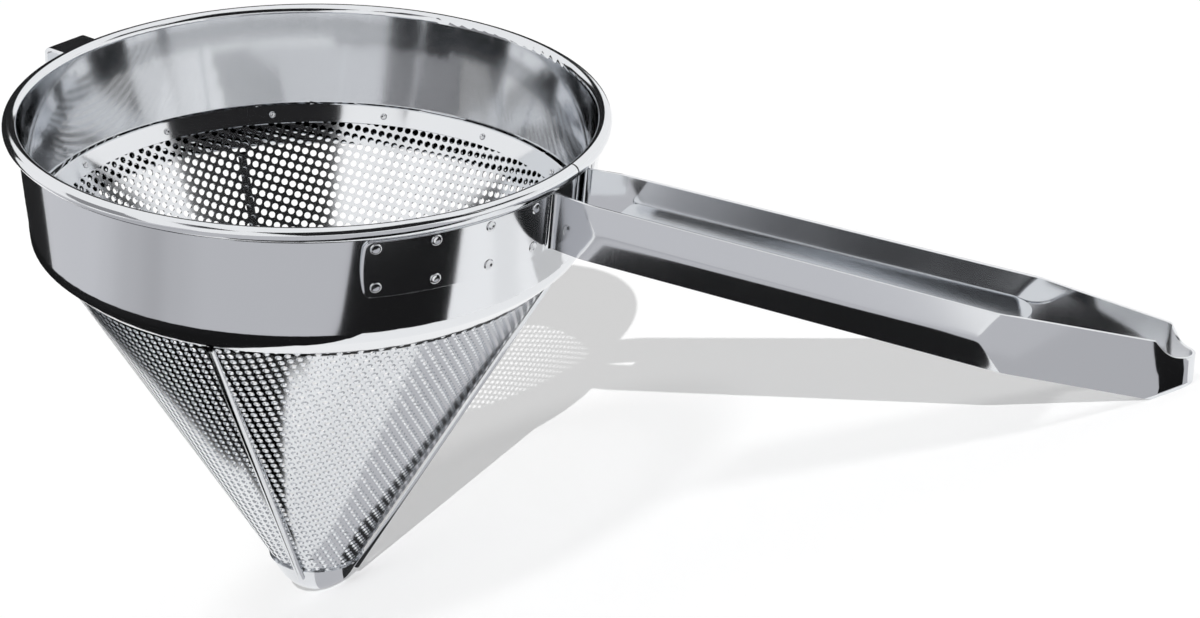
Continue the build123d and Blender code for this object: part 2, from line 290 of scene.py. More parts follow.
# The numbers after the colour are the roughness, the smear, and the wave's scale and height.
band_steel = steel("band_steel", cool_steel, 0.05, 0.05, 16, 0.5)
cone_steel = steel("cone_steel", cool_steel, 0.09, 0.06, 60, 0.3)
handle_steel = steel("handle_steel", cool_steel, 0.06, 0.06, 20, 0.6)
weld_steel = steel("weld_steel", (0.7, 0.71, 0.73), 0.1, 0.06, 200, 0.3)
wire_steel = steel("wire_steel", (0.6, 0.61, 0.63), 0.3, 0.1, 100, 0.2)
steels = {made.name.split(".")[0]: made
          for made in (band_steel, cone_steel, handle_steel, weld_steel, wire_steel)}
for node in frame["nodes"].values():
    for slot in node.material_slots:
        slot.material = steels[slot.material.name.split(".")[0]]
print("steels on the CAD nodes:", sorted(steels))

# %% [markdown]
# ## Painted shade in a gap, and a dark joint line
# Two joints show as thin dark lines. Below the band's foot the gap to the cone is so narrow that little light
# comes back out of it, so that shade is painted into the cone's base colour as a thin dark ring. Across the
# rolled bead the two ends of the band's blank meet in a dark joint line. Both could be cut into the mesh, but
# they are less than a millimetre wide, so darkening the base colour is enough. Where to darken is worked out
# from the cone axis, in Object coordinates.

# %% Painted gap shade and the dark bead joint
gap_shade = (2.3 * MM, 2.8 * MM)
gap_darkest = 0.02
foot_depth = hip_depth + hip_foot_drop
bead_joint_azimuth = radians(-1.2)
bead_joint_width = 0.8 * MM
bead_joint_depth = 2.4 * bead_radius
bead_joint_darkening = 0.96


def axis_place(tree):
    """Place of a face from the cone axis, and its depth below the rim."""
    ball_shift = (nose_radius * sin(table_tilt), 0, 0)
    centred = vector_maths(tree, "ADD", axis_coordinates(tree), ball_shift).outputs[0]
    rim_height = dome_depth + nose_radius * cos(table_tilt)
    return centred, minus(tree, rim_height, split_vector(tree, centred)["Z"])


def tint_base(material, colour, factor):
    """Base colour that a factor darkens."""
    tree = material.node_tree
    tint = vector_maths(tree, "SCALE", colour)
    tree.links.new(factor, tint.inputs["Scale"])
    tree.links.new(tint.outputs[0], tree.nodes["Principled BSDF"].inputs["Base Color"])


def painted_gap_shade(material, colour):
    """Paints shade on the outer face of the cone just below the band's foot, where the narrow gap is dark."""
    tree = material.node_tree
    centred, depth = axis_place(tree)
    flat = vector_maths(tree, "MULTIPLY", centred, (1, 1, 0)).outputs[0]
    radius = vector_maths(tree, "LENGTH", flat).outputs["Value"]
    outer = times(tree, minus(tree, apex_depth, depth), tan(half_angle))
    inside = maths(tree, "LESS_THAN", radius, minus(tree, outer, sheet / 2))
    shade = add_node(tree, "ShaderNodeMapRange", {
        "Value": minus(tree, depth, foot_depth), "From Min": gap_shade[0],
        "From Max": gap_shade[1], "To Min": gap_darkest, "To Max": 1.0}, interpolation_type="SMOOTHSTEP")
    tint_base(material, colour, maths(tree, "MAXIMUM", shade.outputs["Result"], inside))


def bead_line(material, colour):
    """Darkens a thin line across the rolled bead, where the ends of the band's blank meet."""
    tree = material.node_tree
    centred, depth = axis_place(tree)
    parts = split_vector(tree, centred)
    off_line = minus(tree, times(tree, parts["X"], sin(bead_joint_azimuth)),
                     times(tree, parts["Y"], cos(bead_joint_azimuth)))
    marked = times(tree, maths(tree, "LESS_THAN", maths(tree, "ABSOLUTE", off_line), bead_joint_width / 2),
                   maths(tree, "LESS_THAN", depth, bead_joint_depth),
                   maths(tree, "GREATER_THAN", parts["X"], 0.0))
    tint_base(material, colour, minus(tree, 1.0, times(tree, marked, bead_joint_darkening)))


# The cone's ring below the band's foot is painted shade; the line across the bead is a dark joint.
painted_gap_shade(cone_steel, cool_steel)
bead_line(band_steel, cool_steel)
print("dark lines: gap at", [round((foot_depth + edge) / MM, 1) for edge in gap_shade], "mm down, bead joint",
      round(bead_joint_width / MM, 1), "mm wide")

# %% [markdown]
# ## The perforated sheet
# The cone is rolled from flat perforated sheet, so its holes stand in straight rows that turn
# against the cone's edge as they go round. Drawing five thousand holes by hand is out of the
# question, and an image would have no depth. Geometry Nodes does it as the maker does: one square
# cell with a round hole is repeated on a grid, the cells outside the blank are dropped, the sheet
# gets its thickness, and the flat blank is rolled into a cone. The rows follow the photograph,
# where they run nearly round the cone at the front rib and slope slightly.

# %% Sizes of the perforated sheet
hole_diameter = 2.35 * MM
column_step = 3.22 * MM
column_angle = radians(-11.5)
row_step = 3.03 * MM
row_angle = radians(84.3)
row_reference_azimuth = radians(-82.5)
seam_azimuth = radians(8)
hole_sides = 16
blank_outer = (apex_depth - 37.6 * MM) / cos(half_angle)
blank_inner = (apex_depth - 172.2 * MM) / cos(half_angle)
sheet_parts = 3
grid_reach = 64
merge_distance = 0.02 * MM
print("flat blank from", round(blank_inner / MM, 1), "to", round(blank_outer / MM, 1), "mm")

# %% [markdown]
# ## The tree that punches and rolls it
# The tree works in the flat first. A disc is pulled out into a square cell whose faces run from its
# edge to the round hole, the cell is set on every point of a grid that lies inside the blank, and
# the cells are joined and thickened. Only then is the flat sheet rolled: a point's distance from the
# blank's middle becomes its place down the cone, and its turn becomes an azimuth.

# %% The sheet's node tree


def lattice_point(tree, across, up, column, row):
    """Flat place of a point given in cells, from the two step vectors."""
    x, y = (maths(tree, "ADD", times(tree, across, column[i]), times(tree, up, row[i])) for i in (0, 1))
    return join_vector(tree, x, y)


def flat_place(tree):
    """X, Y and Z of the point in hand."""
    return split_vector(tree, node_out(tree, "GeometryNodeInputPosition"))


def flat_slant(tree, flat):
    """Distance of a flat point from the blank's middle, which is its distance from the cone's apex."""
    return maths(tree, "SQRT", maths(tree, "ADD", times(tree, flat["X"], flat["X"]),
                                     times(tree, flat["Y"], flat["Y"])))


def moved(tree, geometry, position, selection=True):
    """Geometry whose points are set to new places."""
    return node_out(tree, "GeometryNodeSetPosition", {"Geometry": geometry, "Selection": selection,
                                                      "Position": position})


def merged(tree, geometry, distance):
    """Geometry whose near points are joined."""
    return node_out(tree, "GeometryNodeMergeByDistance", {"Geometry": geometry, "Distance": distance})


def painted_output(tree, instances, material):
    """Ends a tree: realizes the instances, sets the material and gives the geometry out."""
    tree.interface.new_socket(name="Geometry", in_out="OUTPUT", socket_type="NodeSocketGeometry")
    real = node_out(tree, "GeometryNodeRealizeInstances", {0: instances})
    painted = node_out(tree, "GeometryNodeSetMaterial", {"Geometry": real, "Material": material})
    add_node(tree, "NodeGroupOutput", {"Geometry": painted})


def perforated_cell(tree, given, column, row):
    """Square cell with a round hole: a ring of faces from the cell's edge to the hole."""
    disc = node_out(tree, "GeometryNodeMeshCircle", {"Vertices": given["Hole Sides"], "Radius": 1.0},
                    fill_type="NGON")
    flat = flat_place(tree)
    far = maths(tree, "MAXIMUM", maths(tree, "ABSOLUTE", flat["X"]), maths(tree, "ABSOLUTE", flat["Y"]))
    across, up = (maths(tree, "DIVIDE", flat[axis], times(tree, far, 2.0)) for axis in ("X", "Y"))
    kept = add_node(tree, "GeometryNodeStoreNamedAttribute", {"Geometry": disc, "Name": "round"},
                    data_type="FLOAT_VECTOR", domain="POINT")
    tree.links.new(node_out(tree, "GeometryNodeInputPosition"), kept.inputs["Value"])
    square = moved(tree, kept.outputs[0], lattice_point(tree, across, up, column, row))
    ring = add_node(tree, "GeometryNodeExtrudeMesh", {"Mesh": square, "Offset Scale": 0.0,
                                                      "Individual": True}, mode="FACES")
    place = add_node(tree, "GeometryNodeInputNamedAttribute", {"Name": "round"}, data_type="FLOAT_VECTOR")
    hole_edge = vector_maths(tree, "SCALE", place.outputs["Attribute"])
    tree.links.new(times(tree, given["Hole Diameter"], 0.5), hole_edge.inputs["Scale"])
    shaped = moved(tree, ring.outputs["Mesh"], hole_edge.outputs[0], ring.outputs["Top"])
    return node_out(tree, "GeometryNodeDeleteGeometry", {"Geometry": shaped, "Selection": ring.outputs["Top"]},
                    domain="FACE", mode="ONLY_FACE")


def rolled_place(tree, given):
    """Place on the cone of a point of the flat blank, whose height is its stand-off."""
    flat = flat_place(tree)
    slant = flat_slant(tree, flat)
    turn = minus(tree, maths(tree, "ARCTAN2", flat["Y"], flat["X"]), pi / 2)
    sine = maths(tree, "SINE", given["Cone Half Angle"])
    cosine = maths(tree, "COSINE", given["Cone Half Angle"])
    azimuth = maths(tree, "ADD", maths(tree, "DIVIDE", turn, sine), given["Row Azimuth"])
    radius = maths(tree, "ADD", times(tree, slant, sine), times(tree, flat["Z"], cosine))
    rise = minus(tree, times(tree, slant, cosine), times(tree, flat["Z"], sine))
    return round_place(tree, radius, azimuth, minus(tree, rise, given["Apex Depth"]))


def blank_points(tree, given, column, row):
    """Grid points that lie inside the flat blank."""
    side = times(tree, given["Grid Reach"], 2)
    count = maths(tree, "ADD", side, 1)
    grid = node_out(tree, "GeometryNodeMeshGrid", {"Size X": side, "Size Y": side, "Vertices X": count,
                                                   "Vertices Y": count})
    index = flat_place(tree)
    laid = moved(tree, grid, lattice_point(tree, index["X"], index["Y"], column, row))
    flat = flat_place(tree)
    slant = flat_slant(tree, flat)
    turn = maths(tree, "ARCTAN2", flat["Y"], flat["X"])
    outside = maths(tree, "LESS_THAN", slant, given["Inner Slant"])
    for test in (maths(tree, "GREATER_THAN", slant, given["Outer Slant"]),
                 maths(tree, "LESS_THAN", turn, given["Start Turn"]),
                 maths(tree, "GREATER_THAN", turn, given["End Turn"])):
        outside = maths(tree, "MAXIMUM", outside, test)
    return node_out(tree, "GeometryNodeDeleteGeometry", {"Geometry": laid, "Selection": outside},
                    domain="POINT")


def thickened(tree, face, thickness):
    """Closed solid from a flat face, with its underside a thickness lower."""
    down = join_vector(tree, z=times(tree, thickness, -1.0))
    body = node_out(tree, "GeometryNodeExtrudeMesh", {"Mesh": face, "Offset": down, "Offset Scale": 1.0,
                                                      "Individual": False}, mode="FACES")
    both = tree.nodes.new("GeometryNodeJoinGeometry")
    tree.links.new(face, both.inputs[0])
    tree.links.new(node_out(tree, "GeometryNodeFlipFaces", {0: body}), both.inputs[0])
    return merged(tree, both.outputs[0], merge_distance)


def perforated_sheet_tree():
    """Geometry Nodes tree of one part of the rolled sheet."""
    tree = bpy.data.node_groups.new("perforated_sheet", "GeometryNodeTree")
    given = group_inputs(
        tree, Float=["Hole Diameter", "Column Step", "Column Angle", "Row Step", "Row Angle",
                     "Sheet Thickness", "Cone Half Angle", "Apex Depth", "Row Azimuth", "Inner Slant",
                     "Outer Slant", "Start Turn", "End Turn"],
        Int=["Hole Sides", "Grid Reach"], Material=["Material"])
    column, row = [[times(tree, given[step], maths(tree, wave, given[angle])) for wave in ("COSINE", "SINE")]
                   for step, angle in (("Column Step", "Column Angle"), ("Row Step", "Row Angle"))]
    cells = node_out(tree, "GeometryNodeInstanceOnPoints", {
        "Points": blank_points(tree, given, column, row),
        "Instance": perforated_cell(tree, given, column, row)})
    joined = node_out(tree, "GeometryNodeRealizeInstances", {0: cells})
    solid = thickened(tree, merged(tree, joined, merge_distance), given["Sheet Thickness"])
    rolled = moved(tree, solid, rolled_place(tree, given))
    outward = node_out(tree, "GeometryNodeFlipFaces", {0: rolled})
    plain = node_out(tree, "GeometryNodeRemoveAttribute", {"Geometry": outward, "Name": "round"})
    painted_output(tree, plain, given["Material"])
    return tree


sheet_tree = perforated_sheet_tree()
print("perforated sheet tree:", len(sheet_tree.nodes), "nodes")

# %% [markdown]
# ## Rolling the sheet in three parts
# The whole sheet has some five thousand holes, which is more than one light mesh should carry, so
# it is made in three parts that meet cell to cell. One of the three borders, the seam, lies under
# the rib on the handle's side, where the two ends of the real blank are welded.

# %% Roll the perforated sheet


def grown_piece(name, tree, values):
    """Mesh object made by a node tree, with the modifier taken off again."""
    holder = linked_object(name, bpy.data.meshes.new(name))
    modifier = holder.modifiers.new("shape", "NODES")
    modifier.node_group = tree
    for item in tree.interface.items_tree:
        if item.in_out == "INPUT" and item.name in values:
            modifier[item.identifier] = values[item.name]
    grown = taken_mesh(holder)
    grown.transform(LEAN)
    return piece_from_mesh(name, grown)


def flat_turn(azimuth):
    """Angle on the flat blank of an azimuth on the cone."""
    return pi / 2 + (azimuth - row_reference_azimuth) * sin(half_angle)


sheet_values = {"Hole Diameter": hole_diameter, "Column Step": column_step, "Column Angle": column_angle,
                "Row Step": row_step, "Row Angle": row_angle, "Sheet Thickness": sheet,
                "Cone Half Angle": half_angle, "Apex Depth": apex_depth, "Row Azimuth": row_reference_azimuth,
                "Inner Slant": blank_inner, "Outer Slant": blank_outer, "Hole Sides": hole_sides,
                "Grid Reach": grid_reach, "Material": cone_steel}
for part in range(sheet_parts):
    start = seam_azimuth - 2 * pi * (1 - part / sheet_parts)
    end = start + 2 * pi / sheet_parts
    sheet_values["Start Turn"] = flat_turn(start)
    sheet_values["End Turn"] = flat_turn(end)
    gore = grown_piece(f"perforated_sheet_{part + 1}", sheet_tree, sheet_values)
    finish_piece(gore, cone_steel, "cone_steel", "perforated_cone")

# %% [markdown]
# ## The folded strap handle
# The handle is one strip of sheet. It starts as a flange spot-welded to the band, turns out at the
# root, runs along one side of the grip with a pressed V crease, rounds the nose and comes back the
# same way. The CAD model has its exact panels, but every bend there is a knife edge. Here the strip
# is one fine grid: a column for each place along the strip and a row for each height. The wall's
# stand-off from the middle is the least of a few slanted planes, and a soft least rounds the bends
# between them, as the press does. Solidify then gives the sheet its thickness, and Bevel takes the
# sharpness off its cut edge.

# %% Sizes of the strap
cut_edge_round = 0.2 * MM
cut_edge_angle = radians(60)
sharp_sheet_angle = 50
strap_sheet = 1.0 * MM
strap_height = 19.6 * MM
strap_top_depth = 6.8 * MM
droop = tan(radians(2.74))
handle_tip = rim_radius + 207.1 * MM
flange_end = radians(50.7)
flange_bow = 42 * MM
flange_corner = 2.2 * MM
root_bend = 2.0 * MM
root_y = 12.2 * MM
mouth = (rim_radius + 8.0 * MM, 14.2 * MM)
crest_start = (rim_radius + 14.5 * MM, 15.5 * MM)
crest_end = (handle_tip - 62.6 * MM, 18.0 * MM)
knee = (handle_tip - 56.1 * MM, 16.1 * MM)
shoulder = (handle_tip - 10.1 * MM, 7.9 * MM)
tip_radius = 4.6 * MM
tip_top_drop = 5.1 * MM
tip_bottom_rise = 2.4 * MM
tip_step = 6.5 * MM
bend_softness = 0.5 * MM
crest_softness = 0.05
column_pitch = 1.1 * MM
bend_pitch = root_bend / 4
nose_pitch = tip_radius / 9
row_count = 26
print("grip", round((handle_tip - rim_radius) / MM, 1), "mm long")

# %% [markdown]
# ## The strap's outer face
# Each function below answers one question about the face, such as how far the wall stands off the
# middle at a place. The pressed V, the mouth at the root and the narrowing nose are planes, drawn as
# lines between points of the plan, and the soft least picks whichever lies innermost.

# %% The strap's surface


def soft_least(values, softness):
    """Least of some values, rounded where two of them are close."""
    least = values[0]
    for value in values[1:]:
        blend = max(softness - abs(least - value), 0) / softness
        least = min(least, value) - blend * blend * softness / 4
    return least


def soft_most(first, second, softness):
    """Greater of two values, rounded where they are close."""
    return -soft_least((-first, -second), softness)


def strap_top(x):
    """Height of the strap's top edge, which droops away from the band."""
    return -strap_top_depth - droop * (x - wall_outer(strap_top_depth))


def share(x, start, end):
    """How far x lies from a start to an end, as a share."""
    return (x - start) / (end - start)


def line_at(x, start, end):
    """Stand-off at a place on the straight line between two plan points."""
    return start[1] + (end[1] - start[1]) * share(x, start[0], end[0])


def wall_side(x, drop):
    """Stand-off of the wall's outer face at a place and a share of the height."""
    if x < mouth[0]:
        return line_at(x, (root_x, root_y), mouth)
    top = line_at(x, mouth, knee)
    off_crest = sqrt((2 * drop - 1) ** 2 + crest_softness ** 2)
    ridge = top + (line_at(x, crest_start, crest_end) - top) * (1 - off_crest)
    tail = soft_most(line_at(x, crest_end, knee), line_at(x, knee, shoulder), bend_softness)
    return soft_least((line_at(x, mouth, crest_start), ridge, tail, line_at(x, shoulder, tip)), bend_softness)


def tip_tangent():
    """Plan point where the straight nose side runs into the rounded end, and its angle."""
    away = Vector((shoulder[0] - tip_centre, shoulder[1]))
    angle = atan2(away.y, away.x) - acos(tip_radius / away.length)
    return (tip_centre + tip_radius * cos(angle), tip_radius * sin(angle)), angle


tip_centre = handle_tip - tip_radius
tip, tip_angle = tip_tangent()
root_centre_y = root_y + root_bend
root_reach = wall_outer(strap_top_depth) + tight_gap + strap_sheet + root_bend
root_x = sqrt(root_reach ** 2 - root_centre_y ** 2)
root_azimuth = atan2(root_centre_y, root_x)
print("strap: root bend at", round(degrees(root_azimuth), 2), "degrees, tip at", round(tip[0] / MM, 1), "mm")

# %% [markdown]
# ## From the face to a sheet
# The strip is walked from the end of one flange round the nose to the other, one column of points
# at a time. The far half is the near half mirrored, so only four kinds of place need a formula.

# %% Columns of the strap


def flange_point(along, drop):
    """Point of the flange, from its bowed end with rounded corners to the root bend."""
    depth = strap_top_depth + strap_height * drop
    radius = wall_outer(depth) + tight_gap + strap_sheet
    off_middle = strap_height * abs(drop - 0.5)
    cut = flange_bow - sqrt(flange_bow ** 2 - off_middle ** 2)
    near_corner = max(off_middle + flange_corner - strap_height / 2, 0)
    cut += flange_corner - sqrt(max(flange_corner ** 2 - near_corner ** 2, 0))
    end = flange_end - cut / radius
    azimuth = end + (root_azimuth - end) * along
    return radius * cos(azimuth), radius * sin(azimuth), -depth


def bend_point(along, drop):
    """Point of the round bend from the flange out into the wall."""
    angle = (pi / 2 + root_azimuth) * (1 - along)
    lean = wall_slope * strap_height * drop
    return (root_x - root_bend * sin(angle) - lean, root_centre_y - root_bend * cos(angle),
            -strap_top_depth - strap_height * drop)


def wall_point(along, drop):
    """Point of the pressed wall from the root bend to the nose."""
    x = root_x + (tip[0] - root_x) * along
    lean = wall_slope * strap_height * drop * min(max(1 - share(x, mouth[0], knee[0]), 0), 1)
    nose = min(max(share(x, shoulder[0], shoulder[0] + tip_step), 0), 1)
    nose *= 2 - nose
    top = strap_top(x) - tip_top_drop * nose
    height = strap_height - (tip_top_drop + tip_bottom_rise) * nose
    return x - lean, wall_side(x, drop), top - height * drop


def nose_point(along, drop):
    """Point of the rounded end, up to its middle."""
    angle = tip_angle * (1 - along)
    top = strap_top(tip[0]) - tip_top_drop
    height = strap_height - tip_top_drop - tip_bottom_rise
    return tip_centre + tip_radius * cos(angle), tip_radius * sin(angle), top - height * drop


def strap_columns():
    """Columns of points from the end of one flange round the nose to the end of the other."""
    sections = ((flange_point, (flange_end - root_azimuth) * root_reach, column_pitch),
                (bend_point, root_bend * 2, bend_pitch), (wall_point, tip[0] - root_x, column_pitch),
                (nose_point, tip_radius * tip_angle, nose_pitch))
    heights = [(1 - cos(pi * i / row_count)) / 2 for i in range(row_count + 1)]
    columns = []
    for point, length, pitch in sections:
        count = max(round(length / pitch), 1)
        for i in range(count):
            columns.append([point(i / count, drop) for drop in heights])
    middle = [nose_point(1, drop) for drop in heights]
    other = [[(x, -y, z) for x, y, z in column] for column in columns[::-1]]
    return columns + [middle] + other


def sheet_from_columns(name, columns, thickness, edge_round):
    """Solid sheet whose outer face follows columns of points."""
    rows = len(columns[0])
    corners = [LEAN @ Vector(point) for column in columns for point in column]
    faces = [(c * rows + r, (c + 1) * rows + r, (c + 1) * rows + r + 1, c * rows + r + 1)
             for c in range(len(columns) - 1) for r in range(rows - 1)]
    mesh = bpy.data.meshes.new(name)
    mesh.from_pydata(corners, [], faces)
    holder = linked_object(name, mesh)
    wall = holder.modifiers.new("thickness", "SOLIDIFY")
    wall.thickness = thickness
    wall.offset = -1.0
    wall.use_even_offset = True
    add_rounding(holder, edge_round, cut_edge_angle, segments=2)
    return piece_from_mesh(name, taken_mesh(holder), sharp_sheet_angle)


strap = sheet_from_columns("strap_handle", strap_columns(), strap_sheet, cut_edge_round)
finish_piece(strap, handle_steel, "handle_steel", "handle_strap")

# %% [markdown]
# ## The plate and the hook
# These two are plain bent sheet, so each is made from a copy of its own CAD mesh: the loose
# triangles are joined, flat faces are cleaned up, and a Bevel modifier rounds the edges.

# %% Rounded sheet pieces
bend_angle = radians(20)
flat_angle = radians(0.4)
weld_distance = 0.005 * MM
plate_round = 0.3 * MM


def rounded_piece(name, node_name, edge_round, material, slot_name):
    """Copy of a CAD sheet piece whose bends and cut edges are rounded."""
    shape = bmesh.new()
    shape.from_mesh(frame["nodes"][node_name].data)
    bmesh.ops.remove_doubles(shape, verts=shape.verts, dist=weld_distance)
    bmesh.ops.dissolve_limit(shape, angle_limit=flat_angle, verts=shape.verts, edges=shape.edges)
    mesh = bpy.data.meshes.new(name)
    shape.to_mesh(mesh)
    shape.free()
    holder = linked_object(name, mesh)
    add_rounding(holder, edge_round, bend_angle, segments=3)
    piece = piece_from_mesh(name, taken_mesh(holder), sharp_sheet_angle)
    evening = piece.modifiers.new("evening", "WEIGHTED_NORMAL")
    evening.mode = "FACE_AREA_WITH_ANGLE"
    evening.keep_sharp = True
    finish_piece(piece, material, slot_name, node_name)


rounded_piece("grip_plate", "handle_plate", plate_round, handle_steel, "handle_steel")
rounded_piece("bent_hook", "pot_hook", plate_round, handle_steel, "handle_steel")

# %% [markdown]
# ## Spot welds
# The flanges and the ring are held by spot welds. The tips of the welding tongs leave a small round
# dimple with a raised rim. A tree of Geometry Nodes makes one dimple from a grid that is bent into a
# disc, and sets it along a row on the leaning wall, square to it. Each row is one use of the tree.

# %% The tree of a row of welds
dimple_merge = 0.004 * MM
dimple_sides, dimple_rings = 25, 17
swell_gain = 2.6
swell_share, floor_share = 0.8, 0.2
edge_steepness = 8.0
sharp_weld_angle = 50


def dimple_height(tree, given, flat, inward):
    """Height of a dimple: a steep edge, a raised rim and a lower middle, on the upper side only."""
    square = times(tree, inward, inward)
    swell = times(tree, square, swell_gain, minus(tree, 1.0, times(tree, square, square)))
    rise = times(tree, maths(tree, "ADD", times(tree, swell, swell_share), floor_share), given["Weld Height"])
    edge = maths(tree, "MINIMUM", times(tree, minus(tree, 1.0, inward), edge_steepness), 1.0)
    upper = maths(tree, "LESS_THAN", minus(tree, 1.0, flat["Y"]), 1.0)
    return times(tree, rise, edge, upper)


def weld_dimple(tree, given):
    """One dimple: a grid bent into a disc, whose long side is the turn round its middle."""
    grid = node_out(tree, "GeometryNodeMeshGrid", {"Size X": 2 * pi, "Size Y": 2.0, "Vertices X": dimple_sides,
                                                   "Vertices Y": dimple_rings})
    flat = flat_place(tree)
    inward = minus(tree, 1.0, maths(tree, "ABSOLUTE", flat["Y"]))
    reach = times(tree, inward, given["Weld Diameter"], 0.5)
    place = round_place(tree, reach, flat["X"], dimple_height(tree, given, flat, inward))
    return merged(tree, moved(tree, grid, place), dimple_merge)


def weld_row_tree():
    """Geometry Nodes tree of a row of dimples round the cone axis."""
    tree = bpy.data.node_groups.new("weld_row", "GeometryNodeTree")
    given = group_inputs(
        tree, Float=["Weld Diameter", "Weld Height", "Row Radius", "Row Depth", "First Azimuth",
                     "Azimuth Step", "Tilt"], Int=["Count"], Material=["Material"])
    index = node_out(tree, "GeometryNodeInputIndex")
    azimuth = maths(tree, "ADD", given["First Azimuth"], times(tree, index, given["Azimuth Step"]))
    spots = node_out(tree, "GeometryNodeMeshLine", {"Count": given["Count"]}, mode="OFFSET")
    spot = round_place(tree, given["Row Radius"], azimuth, times(tree, given["Row Depth"], -1.0))
    set_out = node_out(tree, "GeometryNodeInstanceOnPoints", {
        "Points": moved(tree, spots, spot), "Instance": weld_dimple(tree, given),
        "Rotation": join_vector(tree, y=given["Tilt"], z=azimuth)})
    painted_output(tree, set_out, given["Material"])
    return tree


weld_tree = weld_row_tree()
print("weld row tree:", len(weld_tree.nodes), "nodes")

# %% [markdown]
# ## Placing the rows
# The flanges carry two rows of four welds each and the hook two rows of two, all on the outside of
# the band. The inner ring's fourteen welds face into the bowl, so their tilt points the other way.

# %% Set the welds


def weld_rows(name, rows, diameter, node_name):
    """All rows of one node's welds in one piece."""
    shape = bmesh.new()
    for radius, depth, tilt, first, step, count in rows:
        values = {"Weld Diameter": diameter, "Weld Height": weld_height, "Row Radius": radius,
                  "Row Depth": depth, "First Azimuth": first, "Azimuth Step": step, "Tilt": tilt,
                  "Count": count, "Material": weld_steel}
        grown = grown_piece(name + "_row", weld_tree, values)
        shape.from_mesh(grown.data)
        bpy.data.objects.remove(grown)
    bmesh.ops.recalc_face_normals(shape, faces=shape.faces)
    mesh = bpy.data.meshes.new(name)
    shape.to_mesh(mesh)
    shape.free()
    finish_piece(piece_from_mesh(name, mesh, sharp_weld_angle), weld_steel, "weld_steel", node_name)


weld_height = 0.3 * MM
weld_diameter, ring_weld_diameter = 3.8 * MM, 2.4 * MM
ring_weld_count = 14
ring_weld_drop = 2.7 * MM
hook_sheet = 1.2 * MM
outward_tilt = pi / 2 + atan2(wall_slope, 1)
flange_rows = (9.1 * MM, 22.8 * MM)
flange_first, flange_last, flange_columns = radians(47.93), radians(12.36), 4
flange_step = (flange_last - flange_first) / (flange_columns - 1)
hook_rows = (19.0 * MM, 11.0 * MM)
hook_azimuth = radians(167)
hook_pitch = 8.0 * MM / wall_outer(0)
weld_rows("strap_welds", [(wall_outer(depth) + strap_sheet + 2 * tight_gap, depth, outward_tilt,
                           side * flange_first, side * flange_step, flange_columns)
                          for side in (-1, 1) for depth in flange_rows], weld_diameter, "handle_welds")
weld_rows("bent_hook_welds", [(wall_outer(depth) + hook_sheet + 2 * tight_gap, depth, outward_tilt,
                               hook_azimuth - hook_pitch / 2, hook_pitch, 2) for depth in hook_rows],
          weld_diameter, "hook_welds")
cone_slope = tan(half_angle)
ring_depth = ((apex_depth * cone_slope - (rim_radius - 2 * bead_radius + wall_slope * bead_radius))
              / (cone_slope - wall_slope) + tight_gap + ring_weld_drop)
ring_face = cone_slope * (apex_depth - ring_depth) - (2 * sheet + 3 * tight_gap) / cos(half_angle)
weld_rows("bowl_ring_welds", [(ring_face, ring_depth, half_angle - pi / 2, 0.0, 2 * pi / ring_weld_count,
                               ring_weld_count)], ring_weld_diameter, "ring_welds")

# %% [markdown]
# ## Floor and world
# The photograph has a white table that fades into a white background. Lamps strong enough to make
# both white would burn out the pale steel. So the lamps and the sky stay at a plain level, and the
# white comes from a glow of the table and the sky that only the eye and the mirrors see.

# %% Floor and world


def staged(name, corners, faces, material):
    """Flat or folded card for the stage."""
    mesh = bpy.data.meshes.new(name)
    mesh.from_pydata(corners, [], faces)
    mesh.materials.append(material)
    card = linked_object(name, mesh)
    return card


def seen_directly(tree):
    """One for rays from the lens and for mirror and glass rays, else zero."""
    path = tree.nodes.new("ShaderNodeLightPath").outputs
    direct = maths(tree, "MAXIMUM", path["Is Camera Ray"], path["Is Glossy Ray"])
    return maths(tree, "MAXIMUM", direct, path["Is Transmission Ray"])


def matt_material(name, base, glow):
    """Matt material without shine, with a base grey and a glow of one colour."""
    material = bpy.data.materials.new(name)
    material.use_nodes = True
    shader = material.node_tree.nodes["Principled BSDF"]
    shader.inputs["Base Color"].default_value = (base, base, base, 1)
    shader.inputs["Roughness"].default_value = 1.0
    shader.inputs["Specular IOR Level"].default_value = 0.0
    shader.inputs["Emission Color"].default_value = glow
    return material


table_grey = 0.8
table_glow = 0.22
sky_strength = 0.41
floor_reach = 8.0
table_white = matt_material("table_white", table_grey, (1, 1, 1, 1))
table = table_white.node_tree
table.links.new(maths(table, "MULTIPLY", seen_directly(table), table_glow),
                table.nodes["Principled BSDF"].inputs["Emission Strength"])
staged("table_top", [(x * floor_reach, y * floor_reach, 0) for x, y in ((-1, -1), (1, -1), (1, 1), (-1, 1))],
       [(0, 1, 2, 3)], table_white)
world = bpy.data.worlds.new("studio")
bpy.context.scene.world = world
world.use_nodes = True
sky = world.node_tree
background = sky.nodes["Background"].inputs
background["Color"].default_value = (1, 1, 1, 1)
sky.links.new(maths(sky, "MAXIMUM", seen_directly(sky), sky_strength), background["Strength"])
print("table", table_grey, "with glow", table_glow, "under a sky of", sky_strength)

# %% [markdown]
# ## Lamps
# The photograph's shadow has a sharp edge far behind the strainer and a soft dark patch below it.
# That takes a low, small lamp and a high, wide one on the same side. Each is a sun, so its strength
# doesn't fall off, and it is set as a share of the light that reaches the table.

# %% Lamps
lamp_azimuth = -54


def sunny_lamp(name, azimuth, elevation, softness, light_share):
    """Far lamp from an azimuth and an elevation in degrees, with its share of the table's light."""
    data = bpy.data.lights.new(name, "SUN")
    data.angle = radians(softness)
    data.energy = pi * light_share / sin(radians(elevation))
    lamp = bpy.data.objects.new(name, data)
    across = cos(radians(elevation))
    away = Vector((across * cos(radians(azimuth)), across * sin(radians(azimuth)), sin(radians(elevation))))
    lamp.location = away
    lamp.rotation_euler = (-away).to_track_quat("-Z", "Y").to_euler()
    lamp.visible_glossy = False
    bpy.context.scene.collection.objects.link(lamp)


